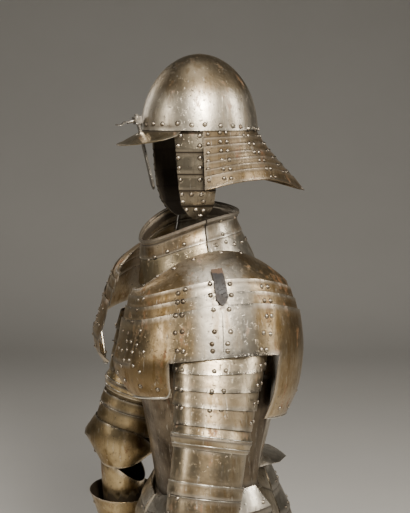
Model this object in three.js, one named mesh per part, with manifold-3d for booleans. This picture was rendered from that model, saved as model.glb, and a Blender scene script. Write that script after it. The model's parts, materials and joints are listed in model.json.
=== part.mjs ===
// Suit of cavalry armour, worn and held up by its wearer, empty inside.
// Millimetres, +Z up. The wearer faces -Y and the wearer's left is +X.
// The origin is the base of the neck, between the shoulders that carry the suit.
import * as THREE from 'three';
import Module from 'manifold-3d';
import { mergeVertices } from 'three/addons/utils/BufferGeometryUtils.js';

const wasm = await Module();
wasm.setup();

// Driving dimensions
const PLATE = 1.5;
const LEATHER = 2.4;
const SEAM = 0.5;
const LAP = 3.8;
const STEP = 2.2;
const TAIL_LAP = 3.2;
const TAIL_PLATE = 1.2;

const SKULL = { y: 28, halfLength: 124, halfWidth: 108, rim: 250, height: 156, wall: 1.8 };
const PEAK = { reach: 55, drop: 29, halfAngle: 56, flange: 9, inset: 3.6 };
const BAR = { lean: 13.5, topY: -109, topZ: 282, length: 158, width: 12, tipWidth: 17, thick: 4 };
const BRACKET = { width: 22, depth: 14, height: 15 };
const SCREW = { radius: 2.6, shaft: 20, wing: 26, wingHeight: 15, wingThick: 2.4 };
const COLLAR = { y: 5, z: 60, halfWidth: 85, halfLength: 103, roll: 7 };
const TORSO_Y = 50;
const FLANK_GAP = 1.9;
const SHOULDER_LIFT = 8.5;
const SHOULDER_RAISE = 9;
const STRAP_WIDTH = 25;

// Finishes
const STEEL = { color: 0xa39a88, roughness: 0.38, metalness: 0.9 };
const BRONZED = { color: 0x8f7d60, roughness: 0.5, metalness: 0.85 };
const GILT_BROWN = { color: 0x8a6f42, roughness: 0.45, metalness: 0.85 };
const DARK_STEEL = { color: 0x5d5142, roughness: 0.55, metalness: 0.8 };
const LEATHER_BLACK = { color: 0x1c1917, roughness: 0.75, metalness: 0 };

const suit = new THREE.Group();

// Small maths

const radians = (degrees) => degrees * Math.PI / 180;
const sin = (degrees) => Math.sin(radians(degrees));
const degreesOf = (y, x) => Math.atan2(y, x) * 180 / Math.PI;
const cos = (degrees) => Math.cos(radians(degrees));
const mix = (a, b, t) => a + (b - a) * t;
const clamp = (t) => Math.min(1, Math.max(0, t));
const ease = (t) => clamp(t) ** 2 * (3 - 2 * clamp(t));
const add = (a, b, k = 1) => [a[0] + b[0] * k, a[1] + b[1] * k, a[2] + b[2] * k];
const dot = (a, b) => a[0] * b[0] + a[1] * b[1] + a[2] * b[2];
const cross = (a, b) => [a[1] * b[2] - a[2] * b[1], a[2] * b[0] - a[0] * b[2], a[0] * b[1] - a[1] * b[0]];
const unit = (a) => add([0, 0, 0], a, 1 / Math.hypot(...a));

// Evenly spaced stations from one value to another.
function spread(from, to, count) {
  return Array.from({ length: count + 1 }, (_, i) => mix(from, to, i / count));
}

// A smooth curve through one named column of a table, read at a value of its key column.
function curve(rows, key, column) {
  const x = rows.map((row) => row[key]);
  const y = rows.map((row) => row[column]);
  const last = rows.length - 1;
  const slope = (i) => {
    const lo = Math.max(0, i - 1);
    const hi = Math.min(last, i + 1);
    return (y[hi] - y[lo]) / (x[hi] - x[lo]);
  };
  return (value) => {
    const rising = x[last] > x[0] ? 1 : -1;
    if ((value - x[0]) * rising <= 0) return y[0];
    if ((value - x[last]) * rising >= 0) return y[last];
    let i = 0;
    while ((value - x[i + 1]) * rising > 0) i += 1;
    const span = x[i + 1] - x[i];
    const t = (value - x[i]) / span;
    const start = y[i] * (1 + 2 * t) * (1 - t) ** 2 + y[i + 1] * t * t * (3 - 2 * t);
    return start + slope(i) * span * t * (1 - t) ** 2 - slope(i + 1) * span * t * t * (1 - t);
  };
}

// Every column of a table as a smooth curve.
function curves(rows, key) {
  const made = {};
  for (const column of Object.keys(rows[0])) {
    if (column !== key) made[column] = curve(rows, key, column);
  }
  return made;
}

// The unit normal of a surface, turned by a sign to the outside, or pole where rows meet in one point.
function normalAt(surface, u, v, stepU, stepV, sign, pole) {
  const alongU = add(surface(u + stepU, v), surface(u - stepU, v), -1);
  const alongV = add(surface(u, v + stepV), surface(u, v - stepV), -1);
  const normal = cross(alongU, alongV);
  if (Math.hypot(...normal) < 1e-9) return unit(pole);
  return add([0, 0, 0], unit(normal), sign);
}

// A closed plate: an outer sheet raised off a surface, an inner sheet below it, and the edges between.
function plate({ surface, inside, across, along, wrap = false, rise = () => 0, under, keep = () => true }) {
  const below = under ?? ((u, v) => rise(u, v) - PLATE);
  const stepU = Math.abs(across.at(-1) - across[0]) * 1e-4;
  const stepV = Math.abs(along.at(-1) - along[0]) * 1e-4;
  const middleU = across[across.length >> 1];
  const middleV = (along[along.length >> 1] + along[(along.length >> 1) - 1]) / 2;
  const middle = surface(middleU, middleV);
  const facing = dot(
    normalAt(surface, middleU, middleV, stepU, stepV, 1, [0, 0, 1]),
    add(middle, inside(middleU, middleV), -1),
  );
  const sign = facing > 0 ? 1 : -1;
  const points = [];
  const places = new Map();
  const indexOf = (point) => {
    const key = point.map((value) => Math.round(value * 1e4)).join(',');
    if (!places.has(key)) {
      places.set(key, points.length);
      points.push(point);
    }
    return places.get(key);
  };
  const outer = [];
  const inner = [];
  across.forEach((u, i) => {
    outer.push([]);
    inner.push([]);
    along.forEach((v) => {
      const here = surface(u, v);
      const normal = normalAt(surface, u, v, stepU, stepV, sign, add(here, inside(u, v), -1));
      outer[i].push(indexOf(add(here, normal, rise(u, v))));
      inner[i].push(indexOf(add(here, normal, below(u, v))));
    });
  });
  if (wrap) {
    outer.push(outer[0]);
    inner.push(inner[0]);
  }
  const forward = sign * Math.sign(across[1] - across[0]) * Math.sign(along[1] - along[0]) > 0;
  const faces = [];
  const edges = new Map();
  const addFace = (a, b, c) => {
    if (a !== b && b !== c && c !== a) faces.push(a, b, c);
  };
  const cells = outer.length - 1;
  for (let i = 0; i < cells; i += 1) {
    for (let j = 0; j < along.length - 1; j += 1) {
      if (!keep(i, j)) continue;
      const ring = [[i, j], [i + 1, j], [i + 1, j + 1], [i, j + 1]];
      if (!forward) ring.reverse();
      const out = ring.map(([a, b]) => outer[a][b]);
      const into = ring.map(([a, b]) => inner[a][b]);
      addFace(out[0], out[1], out[2]);
      addFace(out[0], out[2], out[3]);
      addFace(into[0], into[2], into[1]);
      addFace(into[0], into[3], into[2]);
      for (let k = 0; k < 4; k += 1) {
        const next = (k + 1) % 4;
        const key = `${out[k]},${out[next]}`;
        if (out[k] !== out[next]) edges.set(key, [out[k], out[next], into[k], into[next]]);
      }
    }
  }
  for (const [a, b, underA, underB] of edges.values()) {
    if (edges.has(`${b},${a}`)) continue;
    addFace(b, a, underA);
    addFace(b, underA, underB);
  }
  const geometry = new THREE.BufferGeometry();
  geometry.setAttribute('position', new THREE.Float32BufferAttribute(points.flat(), 3));
  geometry.setIndex(faces);
  geometry.computeVertexNormals();
  return geometry;
}

// A named piece of the suit in one finish.
function piece(name, geometry, finish) {
  const mesh = new THREE.Mesh(geometry, new THREE.MeshStandardMaterial({ ...finish, side: THREE.FrontSide }));
  mesh.name = name;
  suit.add(mesh);
  return mesh;
}

// Solids that are cut or joined
function solid(geometry) {
  const bare = geometry.clone();
  bare.deleteAttribute('normal');
  bare.deleteAttribute('uv');
  const merged = mergeVertices(bare, 1e-4);
  return new wasm.Manifold(new wasm.Mesh({
    numProp: 3,
    vertProperties: new Float32Array(merged.attributes.position.array),
    triVerts: new Uint32Array(merged.index.array),
  }));
}

function fromSolid(shape) {
  const mesh = shape.getMesh();
  const geometry = new THREE.BufferGeometry();
  geometry.setAttribute('position', new THREE.BufferAttribute(mesh.vertProperties, 3));
  geometry.setIndex(new THREE.BufferAttribute(mesh.triVerts, 1));
  geometry.computeVertexNormals();
  return geometry;
}

// Rise of one lame that lies over the lame before it, and is lapped by the next.
const overPrevious = (from, to, lap) => (u, v) => lap * (1 - clamp((v - from) / (to - from)));

// Rise of one lame that the lame before it laps, and that lies over the next.
const overNext = (from, to, lap) => (u, v) => lap * clamp((v - from) / (to - from));

// Helmet

function skullPoint(angle, polar) {
  const radius = sin(polar);
  return [
    SKULL.halfWidth * radius * sin(angle),
    SKULL.y - SKULL.halfLength * radius * cos(angle),
    SKULL.rim + SKULL.height * cos(polar),
  ];
}

piece('helmet_skull', plate({
  surface: skullPoint,
  inside: () => [0, SKULL.y, SKULL.rim],
  across: spread(0, 360, 28).slice(0, -1),
  along: [0, 16, 32, 48, 64, 78, 90],
  wrap: true,
  under: () => -SKULL.wall,
}), STEEL);

// The peak starts as a flange inside the rim, then leans out and down.
function peakPoint(angle, out) {
  const fall = Math.sqrt(Math.max(0, cos(angle * 90 / PEAK.halfAngle)));
  const grow = Math.max(0, out);
  const reach = PEAK.reach * fall * grow - PEAK.inset;
  return [
    (SKULL.halfWidth + reach * 0.75) * sin(angle),
    SKULL.y - (SKULL.halfLength + reach) * cos(angle),
    SKULL.rim - 1.5 - PEAK.drop * fall * grow + PEAK.flange * Math.max(0, -out),
  ];
}

const PEAK_ANGLES = [-54, -46, -37, -28, -19, -11, -4, 4, 11, 19, 28, 37, 46, 54];
piece('helmet_peak', plate({
  surface: peakPoint,
  inside: () => [0, SKULL.y, SKULL.rim - 60],
  across: PEAK_ANGLES,
  along: [-1, 0, 0.06, 0.3, 0.65, 1],
  keep: (i, j) => !(i === 6 && j === 2),
}), STEEL);

// The bar slides along its own length, leaning back towards the face.
const barAxis = [0, -sin(BAR.lean), cos(BAR.lean)];
const barFront = [0, -cos(BAR.lean), -sin(BAR.lean)];

// Places a geometry whose Y runs up the bar and whose Z points forward from it.
function onBar(geometry, down) {
  const frame = new THREE.Matrix4().makeBasis(
    new THREE.Vector3(1, 0, 0),
    new THREE.Vector3(...barAxis),
    new THREE.Vector3(...barFront),
  );
  frame.setPosition(new THREE.Vector3(...add([0, BAR.topY, BAR.topZ], barAxis, -down)));
  return geometry.applyMatrix4(frame);
}

function barOutline() {
  const half = BAR.width / 2;
  const tip = BAR.tipWidth / 2;
  const outline = new THREE.Shape();
  outline.moveTo(-half, 0);
  outline.lineTo(-half, -BAR.length + 34);
  outline.lineTo(-tip, -BAR.length + 18);
  outline.lineTo(-tip * 0.6, -BAR.length + 5);
  outline.lineTo(0, -BAR.length);
  outline.lineTo(tip * 0.6, -BAR.length + 5);
  outline.lineTo(tip, -BAR.length + 18);
  outline.lineTo(half, -BAR.length + 34);
  outline.lineTo(half, 0);
  return outline;
}

const bar = new THREE.ExtrudeGeometry(barOutline(), { depth: BAR.thick, bevelEnabled: false, steps: 1 });
bar.translate(0, 0, -BAR.thick / 2);
piece('nasal_bar', onBar(bar, 0), DARK_STEEL);

// The staple stands on the skull, and the bar runs down through it.
const stapleDown = 12;
const stapleBody = onBar(new THREE.BoxGeometry(BRACKET.width, BRACKET.height, BRACKET.depth), stapleDown);
const barWay = onBar(new THREE.BoxGeometry(
  BAR.width + 2 * SEAM,
  BRACKET.height + 4,
  BAR.thick + 2 * SEAM,
), stapleDown);
const screwWay = onBar(
  new THREE.CylinderGeometry(SCREW.radius + SEAM, SCREW.radius + SEAM, BRACKET.depth, 12)
    .rotateX(Math.PI / 2).translate(0, 0, BRACKET.depth / 2),
  stapleDown,
);
const skullCore = new THREE.SphereGeometry(1, 28, 20).rotateX(Math.PI / 2).scale(
  SKULL.halfWidth,
  SKULL.halfLength,
  SKULL.height,
).translate(0, SKULL.y, SKULL.rim);
piece('nasal_bracket', fromSolid(
  solid(stapleBody).subtract(solid(barWay)).subtract(solid(screwWay)).subtract(solid(skullCore)),
), STEEL);

// The screw stands on the bar's face, and its wing is a waved plate for finger and thumb.
function screwWing() {
  const wave = new THREE.Shape();
  const start = SCREW.shaft - 3;
  const stations = spread(0, 1, 8);
  const middle = (t) => 2.2 * Math.sin(t * Math.PI * 2.2);
  const half = SCREW.wingThick / 2;
  stations.forEach((t, i) => {
    const place = [start + t * SCREW.wing, middle(t) + half];
    if (i === 0) wave.moveTo(...place);
    else wave.lineTo(...place);
  });
  stations.reverse().forEach((t) => wave.lineTo(start + t * SCREW.wing, middle(t) - half));
  const wing = new THREE.ExtrudeGeometry(wave, { depth: SCREW.wingHeight, bevelEnabled: false, steps: 1 });
  wing.translate(0, 0, -SCREW.wingHeight / 2);
  return wing.rotateY(-Math.PI / 2);
}

const shaft = new THREE.CylinderGeometry(SCREW.radius, SCREW.radius, SCREW.shaft, 10)
  .rotateX(Math.PI / 2).translate(0, 0, SCREW.shaft / 2);
const screwStart = BAR.thick / 2 + SEAM;
const screwShape = fromSolid(solid(shaft).add(solid(screwWing()))).translate(0, 0, screwStart);
piece('nasal_screw', onBar(screwShape, stapleDown), STEEL);

// Cheek pieces hang inside the rim and are laminated of five short plates.
const CHEEK = [
  { z: 258, front: -52, rear: 8, halfWidth: 100.4 },
  { z: 243, front: -52, rear: 10, halfWidth: 100.6 },
  { z: 207, front: -49, rear: 12, halfWidth: 100 },
  { z: 163, front: -46, rear: 20, halfWidth: 97 },
  { z: 130, front: -42, rear: 30, halfWidth: 91 },
  { z: 98, front: -34, rear: 31, halfWidth: 76 },
  { z: 80, front: -20, rear: 24, halfWidth: 68 },
  { z: 68, front: -3, rear: 10, halfWidth: 64 },
];
const cheek = curves(CHEEK, 'z');
const CHEEK_LINES = [207, 163, 130, 98];

function cheekPoint(side) {
  return (u, z) => {
    const y = mix(cheek.front(z), cheek.rear(z), u);
    const round = Math.sqrt(1 - ((y - SKULL.y) / (SKULL.halfLength - 7)) ** 2);
    return [side * cheek.halfWidth(z) * round, y, z];
  };
}

// Stations down a laminated piece, doubled at every lame line.
function steppedStations(from, lines, to, gap) {
  const stations = [from];
  const turn = Math.sign(to - from);
  lines.forEach((line) => stations.push(line - turn * gap, line + turn * gap));
  stations.push(to);
  return stations;
}

// Rise that grows down each lame and falls back at its line.
function steppedRise(from, lines, to, step) {
  const bounds = [from, ...lines, to];
  return (u, v) => {
    for (let i = 0; i < bounds.length - 1; i += 1) {
      const t = (v - bounds[i]) / (bounds[i + 1] - bounds[i]);
      if (t <= 1 || i === bounds.length - 2) return step * clamp(t);
    }
    return 0;
  };
}

function cheekPiece(name, side) {
  piece(name, plate({
    surface: cheekPoint(side),
    inside: (u, z) => [0, SKULL.y, z],
    across: spread(0, 1, 4),
    along: [258, 240, ...steppedStations(225, CHEEK_LINES, 80, 0.6).slice(1), 72, 68],
    rise: (u, z) => (z > 240 ? 0 : steppedRise(240, CHEEK_LINES, 66, 1.4)(u, z)),
    under: () => -PLATE,
  }), STEEL);
}

cheekPiece('cheek_piece_left', 1);
cheekPiece('cheek_piece_right', -1);

// The tail spreads from the rim over the neck to a point at the back.
const TAIL_HEM = [
  { angle: 76, x: 115, y: -2, z: 133 },
  { angle: 105, x: 125, y: 62, z: 148 },
  { angle: 137, x: 101, y: 138, z: 152 },
  { angle: 160, x: 60, y: 200, z: 142 },
  { angle: 180, x: 0, y: 268, z: 119 },
];
const hem = curves(TAIL_HEM, 'angle');
const TAIL_LINES = [0, 0.15, 0.29, 0.43, 0.56, 0.68, 0.79, 1];

function tailPoint(angle, v) {
  const near = angle > 180 ? 360 - angle : angle;
  const side = angle > 180 ? -1 : 1;
  const inset = PEAK.inset + TAIL_LAP + 0.8;
  const top = [
    (SKULL.halfWidth - inset) * sin(near),
    SKULL.y - (SKULL.halfLength - inset) * cos(near),
    SKULL.rim + 3,
  ];
  const low = [hem.x(near), hem.y(near), hem.z(near)];
  const flare = Math.max(0, v) ** 1.12;
  return [side * mix(top[0], low[0], flare), mix(top[1], low[1], flare), mix(top[2], low[2], v)];
}

for (let lame = 0; lame < TAIL_LINES.length - 1; lame += 1) {
  const from = TAIL_LINES[lame];
  const to = lame === TAIL_LINES.length - 2 ? 1 : TAIL_LINES[lame + 1] + 0.035;
  piece(`tail_lame_${lame + 1}`, plate({
    surface: tailPoint,
    inside: (angle, v) => [0, SKULL.y, mix(SKULL.rim, 60, v)],
    across: spread(76, 284, 16),
    along: lame === TAIL_LINES.length - 2 ? [from, 0.9, to] : [from, to],
    rise: overPrevious(from, to, TAIL_LAP),
    under: (angle, v) => overPrevious(from, to, TAIL_LAP)(angle, v) - TAIL_PLATE,
  }), BRONZED);
}

// Gorget

// Turns a point about a front-to-back line at a given height, the wearer's left side down.
function roll(point, degrees, height = 0) {
  const rise = point[2] - height;
  return [
    point[0] * cos(degrees) + rise * sin(degrees),
    point[1],
    height - point[0] * sin(degrees) + rise * cos(degrees),
  ];
}

// Going down the gorget: how far it stands out and how far it has dropped.
const GORGET = [
  { s: 0, out: -2, drop: 0 },
  { s: 0.05, out: 3, drop: -2 },
  { s: 0.1, out: 4, drop: 4 },
  { s: 0.16, out: -1, drop: 10 },
  { s: 0.3, out: 0, drop: 20 },
  { s: 0.45, out: 8, drop: 34 },
  { s: 0.6, out: 17, drop: 50 },
  { s: 0.8, out: 33, drop: 75 },
  { s: 1, out: 43, drop: 96 },
];
const gorget = curves(GORGET, 's');

function gorgetPoint(angle, s) {
  const spreadOut = 0.06 + 0.94 * ease((1 - cos(angle)) / 1.25);
  const out = s < 0.2 ? gorget.out(s) : gorget.out(s) * spreadOut;
  const rimHeight = 66 - 30.5 * cos(angle) - 12 * cos(2 * angle);
  const slope = 1 + 0.06 * sin(angle) ** 2;
  return roll([
    (COLLAR.halfWidth + out) * sin(angle),
    COLLAR.y - (COLLAR.halfLength + out) * cos(angle),
    rimHeight - gorget.drop(s) * slope,
  ], COLLAR.roll, COLLAR.z);
}

function gorgetPiece(name, from, to, start, end, rise, finish) {
  const stations = GORGET.map((row) => row.s).filter((s) => s > start && s < end);
  piece(name, plate({
    surface: gorgetPoint,
    inside: (angle, s) => [0, COLLAR.y, COLLAR.z - 140 * s],
    across: spread(from, to, 12),
    along: [start, ...stations, end],
    rise: () => rise,
  }), finish);
}

gorgetPiece('gorget_collar_front', -92, 92, 0, 0.5, 0, GILT_BROWN);
gorgetPiece('gorget_plate_front', -92, 92, 0.46, 1, -PLATE - SEAM, GILT_BROWN);
gorgetPiece('gorget_collar_back', 93.5, 266.5, 0, 0.5, 0, STEEL);
gorgetPiece('gorget_plate_back', 93.5, 266.5, 0.46, 1, -PLATE - SEAM, STEEL);

// Cuirass

const TORSO = [
  { z: -30, halfWidth: 112, front: -48, back: 138 },
  { z: -70, halfWidth: 124, front: -66, back: 160 },
  { z: -120, halfWidth: 140, front: -92, back: 184 },
  { z: -180, halfWidth: 152, front: -112, back: 201 },
  { z: -240, halfWidth: 155, front: -114, back: 201 },
  { z: -314, halfWidth: 151, front: -97, back: 195 },
  { z: -370, halfWidth: 145, front: -84, back: 184 },
  { z: -432, halfWidth: 140, front: -75, back: 162 },
  { z: -480, halfWidth: 141, front: -66, back: 158 },
  { z: -520, halfWidth: 146, front: -60, back: 160 },
];
const torso = curves(TORSO, 'z');

function torsoPoint(angle, z, out = 0) {
  const depth = cos(angle) > 0 ? TORSO_Y - torso.front(z) : torso.back(z) - TORSO_Y;
  return [
    (torso.halfWidth(z) + out) * sin(angle),
    TORSO_Y - (depth + out) * cos(angle),
    z,
  ];
}

const torsoCore = (angle, z) => [0, TORSO_Y, z];

// Breastplate edges, from the middle of the front round to the flank.
const BREAST = [
  { angle: 0, top: -66, waist: -518 },
  { angle: 25, top: -72, waist: -512 },
  { angle: 45, top: -120, waist: -498 },
  { angle: 65, top: -190, waist: -484 },
  { angle: 90, top: -236, waist: -478 },
  { angle: 128, top: -250, waist: -482 },
];
const breast = curves(BREAST, 'angle');

function edgedPoint(edge, flange) {
  return (angle, v) => {
    const near = Math.abs(angle);
    const z = mix(edge.top(near), edge.waist(near), Math.min(1, v));
    const turned = v > 1 ? flange * (v - 1) : 0;
    const point = torsoPoint(angle, z, turned);
    return [point[0], point[1], point[2] - (v > 1 ? 5 * (v - 1) : 0)];
  };
}

piece('breastplate', plate({
  surface: edgedPoint(breast, 10),
  inside: (angle, v) => [0, TORSO_Y, mix(-150, -480, v)],
  across: [-128, -117, -102, -85, -70, -54, -40, -27, -14, 0, 14, 27, 40, 54, 70, 85, 102, 117, 128],
  along: [0, 0.16, 0.34, 0.54, 0.77, 1, 2],
}), DARK_STEEL);

// Backplate edges, from the flank to the middle of the back.
const BACK = [
  { angle: 117, top: -256, waist: -434 },
  { angle: 135, top: -150, waist: -434 },
  { angle: 150, top: -62, waist: -434 },
  { angle: 180, top: -44, waist: -434 },
];
const back = curves(BACK, 'angle');

// The waist flares into a flange that stands out furthest at the middle.
function backPoint(angle, v) {
  const near = angle > 180 ? 360 - angle : angle;
  const z = mix(back.top(near), back.waist(near), Math.min(1, v));
  const inset = -PLATE - FLANK_GAP;
  const lip = Math.max(0, v - 1);
  const reach = mix(-1, 56, ease((near - 128) / 38));
  const point = torsoPoint(angle, z, inset + (v > 1 ? reach * lip : 0));
  return [point[0], point[1], point[2] - 16 * lip];
}

piece('backplate', plate({
  surface: backPoint,
  inside: (angle, v) => [0, TORSO_Y, v > 1 ? -520 : mix(-150, -430, v)],
  across: [117, 128, 139, 152, 166, 180, 194, 208, 221, 232, 243],
  along: [0, 0.2, 0.42, 0.64, 0.84, 1, 1.45, 2],
}), STEEL);

// Leather straps over the shoulders join the two plates.
function cuirassStrap(name, side) {
  const reach = [
    { t: 0, y: -66, z: -74 },
    { t: 0.3, y: -10, z: -42 },
    { t: 0.6, y: 70, z: -34 },
    { t: 1, y: 146, z: -70 },
  ];
  const line = curves(reach, 't');
  piece(name, plate({
    surface: (u, t) => [side * (62 + u * STRAP_WIDTH), line.y(t), line.z(t)],
    inside: (u, t) => [side * 75, 40, -200],
    across: [0, 1],
    along: spread(0, 1, 6),
    under: () => -LEATHER,
  }), LEATHER_BLACK);
}

cuirassStrap('cuirass_strap_left', 1);
cuirassStrap('cuirass_strap_right', -1);

// Skirt behind the waist, three lames that spread over the saddle
const CULET = [
  { z: -451, halfWidth: 146, back: 176 },
  { z: -500, halfWidth: 156, back: 198 },
  { z: -560, halfWidth: 170, back: 226 },
  { z: -620, halfWidth: 184, back: 244 },
];
const culet = curves(CULET, 'z');
const CULET_LINES = [-500, -556];
piece('culet', plate({
  surface: (angle, z) => [
    culet.halfWidth(z) * sin(angle),
    TORSO_Y - (culet.back(z) - TORSO_Y) * cos(angle),
    z,
  ],
  inside: torsoCore,
  across: spread(131, 229, 8),
  along: steppedStations(-451, CULET_LINES, -620, 0.6),
  rise: steppedRise(-451, CULET_LINES, -620, STEP),
  under: () => -PLATE,
}), STEEL);

// Tassets, from the waist flange to below the knee, with the knee cop as their last plate
const TASSET = [
  { z: -474, dip: 44, x: 0, y: 50, a: 154.5, b: 123.5, from: 1.6, to: 113 },
  { z: -545, dip: 22, x: 14, y: 50, a: 170, b: 150, from: -1, to: 127 },
  { z: -640, dip: 4, x: 66, y: 44, a: 126, b: 146, from: -19, to: 124 },
  { z: -780, dip: 0, x: 106, y: 28, a: 92, b: 118, from: -50, to: 112 },
  { z: -930, dip: 0, x: 118, y: 14, a: 78, b: 96, from: -70, to: 100 },
  { z: -985, dip: 0, x: 120, y: 8, a: 77, b: 98, from: -78, to: 92 },
  { z: -1040, dip: 0, x: 120, y: 8, a: 68, b: 82, from: -72, to: 84 },
];
const tasset = curves(TASSET, 'z');
const TASSET_LINES = [-520, -566, -612, -658, -704, -750, -796, -842, -888, -934];

function tassetPoint(side) {
  return (u, z) => {
    const angle = mix(tasset.from(z), tasset.to(z), u);
    return [
      side * (tasset.x(z) + tasset.a(z) * sin(angle)),
      tasset.y(z) - tasset.b(z) * cos(angle),
      z - tasset.dip(z) * (1 - u) ** 2,
    ];
  };
}

function tassetPiece(name, side) {
  const lames = steppedStations(-474, TASSET_LINES, -985, 0.7);
  piece(name, plate({
    surface: tassetPoint(side),
    inside: (u, z) => [side * (tasset.x(z) + 10), tasset.y(z) + 5, z],
    across: spread(0, 1, 8),
    along: [...lames, -1040],
    rise: (u, z) => (z < -985 ? STEP : steppedRise(-474, TASSET_LINES, -985, STEP)(u, z)),
    under: () => -PLATE,
  }), STEEL);
}

tassetPiece('tasset_left', 1);
tassetPiece('tasset_right', -1);

// Pauldrons

// Stations from the neck edge down: the outermost point, the reach, and how far the ends fall.
const SHOULDER = [
  { s: -2.5, x: 58, y: 33, a: 54, b: 160, z: 11, fall: 77 },
  { s: -0.6, x: 59, y: 32, a: 102, b: 165, z: -8, fall: 59 },
  { s: 1, x: 60, y: 30, a: 137, b: 167, z: -37, fall: 43 },
  { s: 2, x: 60, y: 31, a: 150, b: 175, z: -59, fall: 43 },
  { s: 3, x: 60, y: 32, a: 160, b: 184, z: -81, fall: 45 },
  { s: 4, x: 62, y: 31, a: 171, b: 192, z: -130, fall: 46 },
  { s: 5, x: 64, y: 25, a: 178, b: 198, z: -180, fall: 30 },
  { s: 6, x: 64, y: 24, a: 168, b: 192, z: -236, fall: 20 },
  { s: 7, x: 64, y: 20, a: 144, b: 168, z: -276, fall: 20 },
];
const shoulder = curves(SHOULDER, 's');
const FRONT_FOLD = -41;
const REAR_FOLD = 26;
const CREASE = -11;
const SHOULDER_ANGLES = [
  -97, -89, -80, -71, -61, -51, FRONT_FOLD, -31, -21, CREASE, -2, 8, 18, REAR_FOLD, 40, 55, 69, 82, 93,
];

// The wings reach lower at the back than at the front, and their low corners are round.
function wingDrop(angle, s) {
  const low = Math.max(0, s - 5) / 2;
  if (angle > 0) return -58 * low * ease((94 - angle) / 22 + 0.25) + 18 * low;
  return 20 * low + 18 * low * ease((-angle - 82) / 18);
}

function shoulderPoint(side) {
  return (angle, s) => {
    const x = shoulder.x(s) + shoulder.a(s) * cos(angle);
    const y = shoulder.y(s) + shoulder.b(s) * sin(angle);
    const z = shoulder.z(s) - shoulder.fall(s) * sin(angle) ** 2 + wingDrop(angle, s);
    return side > 0 ? [x, y, z] : roll([-x, y, z + SHOULDER_RAISE], SHOULDER_LIFT);
  };
}

const shoulderCore = (side) => (angle, s) => {
  const core = [side * 70, 25, Math.min(-60, shoulder.z(s) - 60)];
  return side > 0 ? core : roll(core, SHOULDER_LIFT);
};

function shoulderPlate(name, side, along, rise, keep) {
  piece(name, plate({
    surface: shoulderPoint(side),
    inside: shoulderCore(side),
    across: SHOULDER_ANGLES,
    along,
    rise,
    keep,
  }), STEEL);
}

function pauldron(label, side) {
  const overlap = 0.24;
  const firstFold = SHOULDER_ANGLES.indexOf(FRONT_FOLD) - (side > 0 ? 0 : 2);
  const lastFold = SHOULDER_ANGLES.indexOf(REAR_FOLD);
  shoulderPlate(`pauldron_${label}_top`, side, [-2.5, -1.6, -0.6, 0.4, 1 + overlap], () => 0);
  shoulderPlate(`pauldron_${label}_lame_1`, side, [1, 2 + overlap], overPrevious(1, 2 + overlap, LAP));
  shoulderPlate(`pauldron_${label}_lame_2`, side, [2, 3 + overlap], overPrevious(2, 3 + overlap, LAP));
  shoulderPlate(
    `pauldron_${label}_main`,
    side,
    [3, 4, 5, 6, 6.6, 7],
    (u, v) => LAP * (1 - clamp((v - 3) / 2) * 0.2),
    (i, j) => j < 2 || i < firstFold || (i >= lastFold && (j < 4 || i < lastFold + 4)),
  );
  const taper = (s) => mix(1, 0.25, clamp((s - 2.6) / 0.4));
  piece(`pauldron_${label}_strap`, plate({
    surface: (angle, s) => shoulderPoint(side)(CREASE + (angle - CREASE) * taper(s), s),
    inside: shoulderCore(side),
    across: [CREASE - 3.7, CREASE, CREASE + 3.7],
    along: [0.1, 0.8, 1.5, 2.1, 2.6, 3],
    rise: () => LAP + 2 * SEAM + LEATHER,
    under: () => LAP + 2 * SEAM,
  }), LEATHER_BLACK);
}

pauldron('left', 1);
pauldron('right', -1);

// Arms

// Down the upper arm from the shoulder: half sizes sideways and front to back.
const UPPER_ARM = [
  { t: 0, a: 56, b: 98 },
  { t: 48, a: 59, b: 93 },
  { t: 86, a: 60, b: 87 },
  { t: 122, a: 60, b: 83 },
  { t: 161, a: 61, b: 77 },
  { t: 190, a: 61, b: 75 },
  { t: 275, a: 61, b: 73 },
  { t: 355, a: 60, b: 67 },
];
const upperArm = curves(UPPER_ARM, 't');
const ARM_LINES = [0, 48, 86, 122, 161];
const TURNER = { from: 155, ridge: 185, waist: 191, band: 206 };
const CANNON = { from: 201, pastLames: 8 };
// Stations above the bend of the elbow
const ELBOW_LAMES = { from: 100, line: 73, to: 26 };
const COP_LAP = 10;

// Down the forearm from the elbow
const FOREARM = [
  { t: 0, a: 56, b: 66 },
  { t: 90, a: 51, b: 58 },
  { t: 180, a: 41, b: 46 },
  { t: 245, a: 35, b: 40 },
];
const forearm = curves(FOREARM, 't');
const CUFF = [
  { t: 128, a: 78, b: 84 },
  { t: 134, a: 74, b: 80 },
  { t: 190, a: 55, b: 60 },
  { t: 244, a: 37.6, b: 42.6 },
  { t: 262, a: 38.5, b: 44 },
];
const cuff = curves(CUFF, 't');
const HAND = [
  { t: 256, a: 33, b: 40, bend: 0 },
  { t: 300, a: 30, b: 46, bend: 0 },
  { t: 340, a: 28, b: 47, bend: 2 },
  { t: 380, a: 24, b: 42, bend: 8 },
  { t: 425, a: 17, b: 34, bend: 22 },
];
const hand = curves(HAND, 't');
const HAND_LINES = [282, 306, 330, 352, 374, 396];
const THUMB = { from: 276, to: 348, a: 15, b: 15 };

// A limb's own axes: down its length, out to its side, and forward.
function limbFrame(start, end, outward) {
  const down = unit(add(end, start, -1));
  const out = unit(add(outward, down, -dot(outward, down)));
  const fore = cross(out, down);
  return { start, down, out, fore: fore[1] < 0 ? fore : add([0, 0, 0], fore, -1), level: () => 0 };
}

// Sections are level where frame.level is 1 and square to the limb where it is 0.
function limbPoint(frame, t, sideways, forward) {
  const level = frame.level(t);
  const out = add(add([0, 0, 0], frame.out, 1 - level), [Math.sign(frame.out[0]), 0, 0], level);
  const fore = add(add([0, 0, 0], frame.fore, 1 - level), [0, -1, 0], level);
  return add(add(add(frame.start, frame.down, t), out, sideways), fore, forward);
}

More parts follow.
